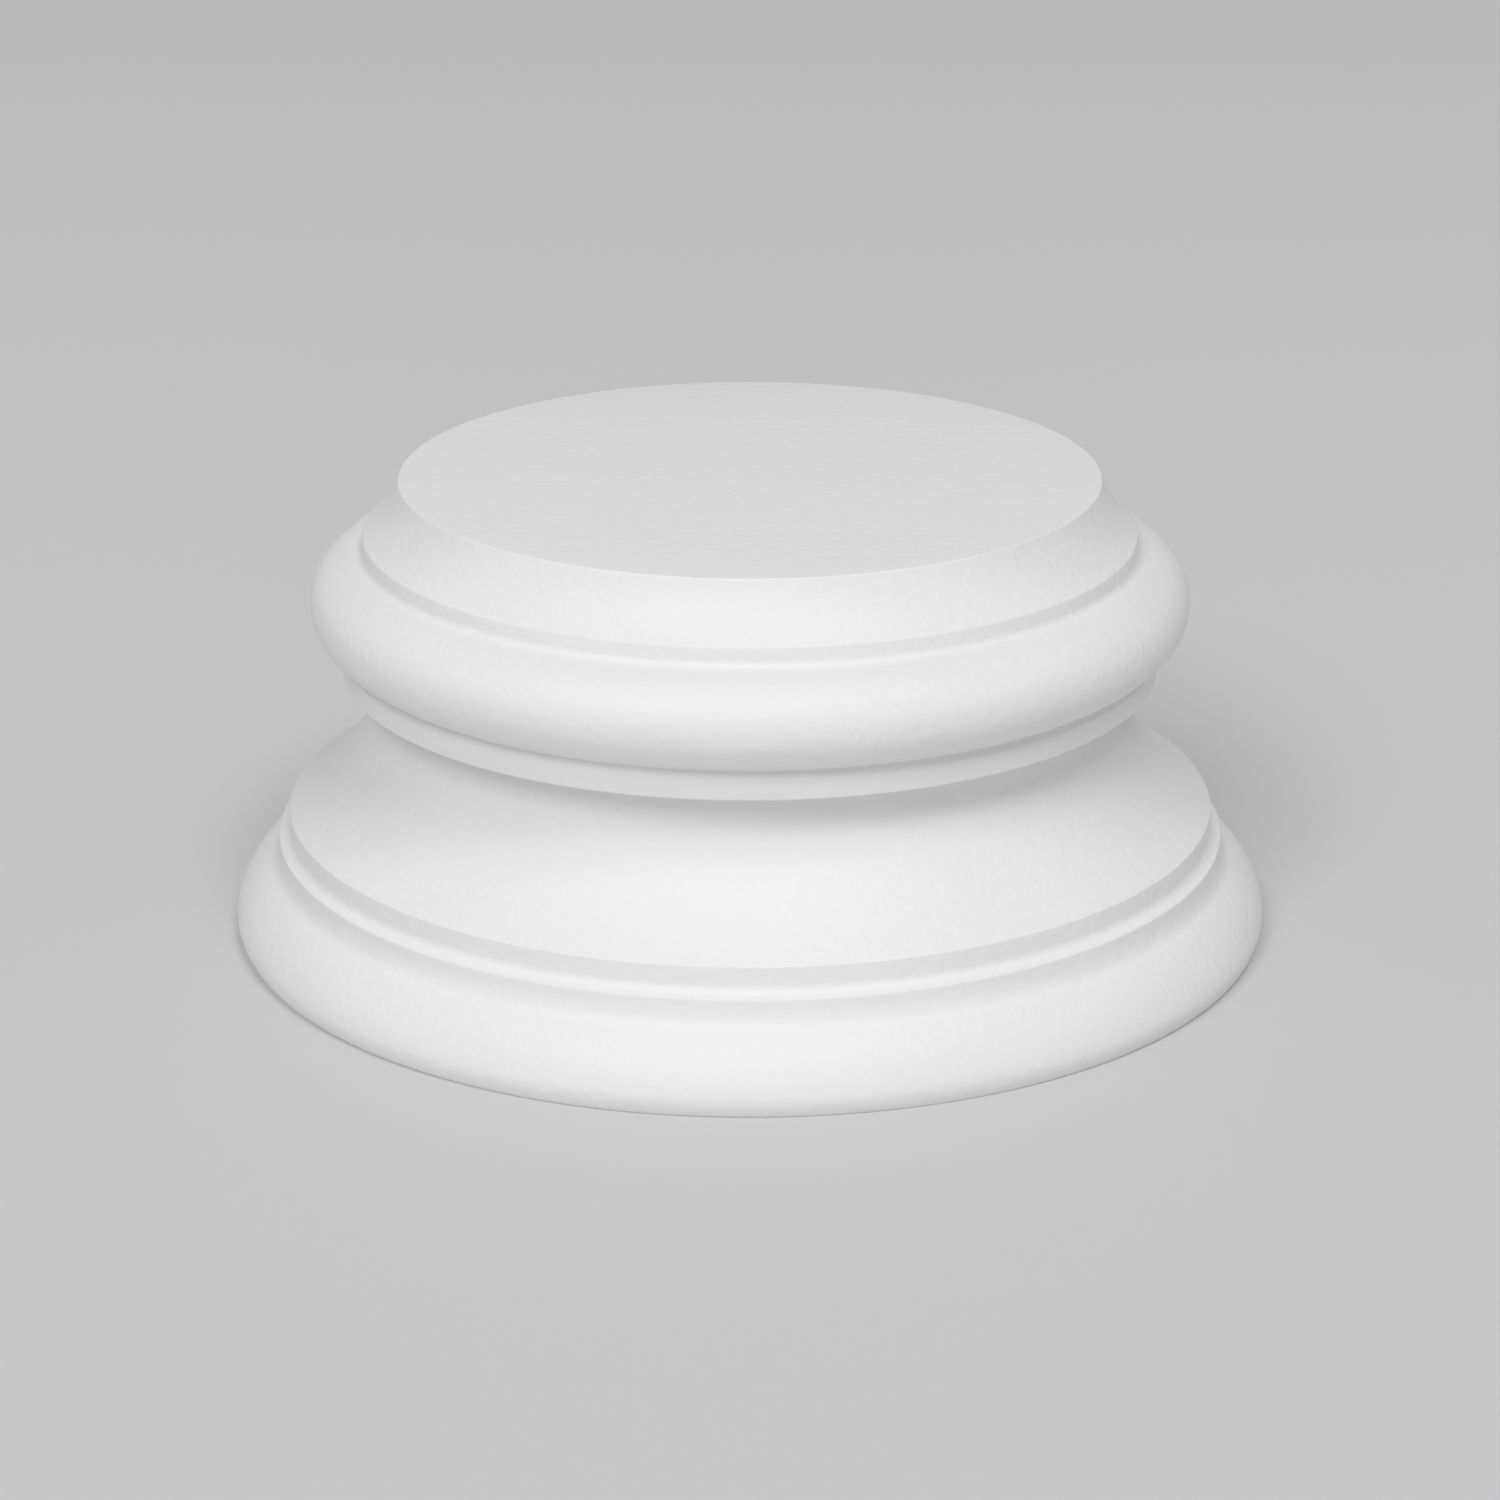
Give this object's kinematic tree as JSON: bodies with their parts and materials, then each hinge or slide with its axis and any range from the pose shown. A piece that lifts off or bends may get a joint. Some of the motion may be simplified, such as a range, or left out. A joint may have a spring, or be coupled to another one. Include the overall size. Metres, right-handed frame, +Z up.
{
  "type": "column base",
  "caption": "Round column base without a plinth: a flared seat for the shaft over a torus, a deep scotia between fillets, and a wider torus at the foot.",
  "frame": {"origin": "centre of the flat underside, on the base's axis", "axes": "+Z up along the base's axis; the base is round, so the directions of +X and +Y are free"},
  "size_m": [0.36, 0.36, 0.16],
  "materials": {
    "white_primer": "matt white primer, smooth and seamless"
  },
  "bodies": {
    "root": {"column_base": "white_primer"}
  },
  "joints": []
}
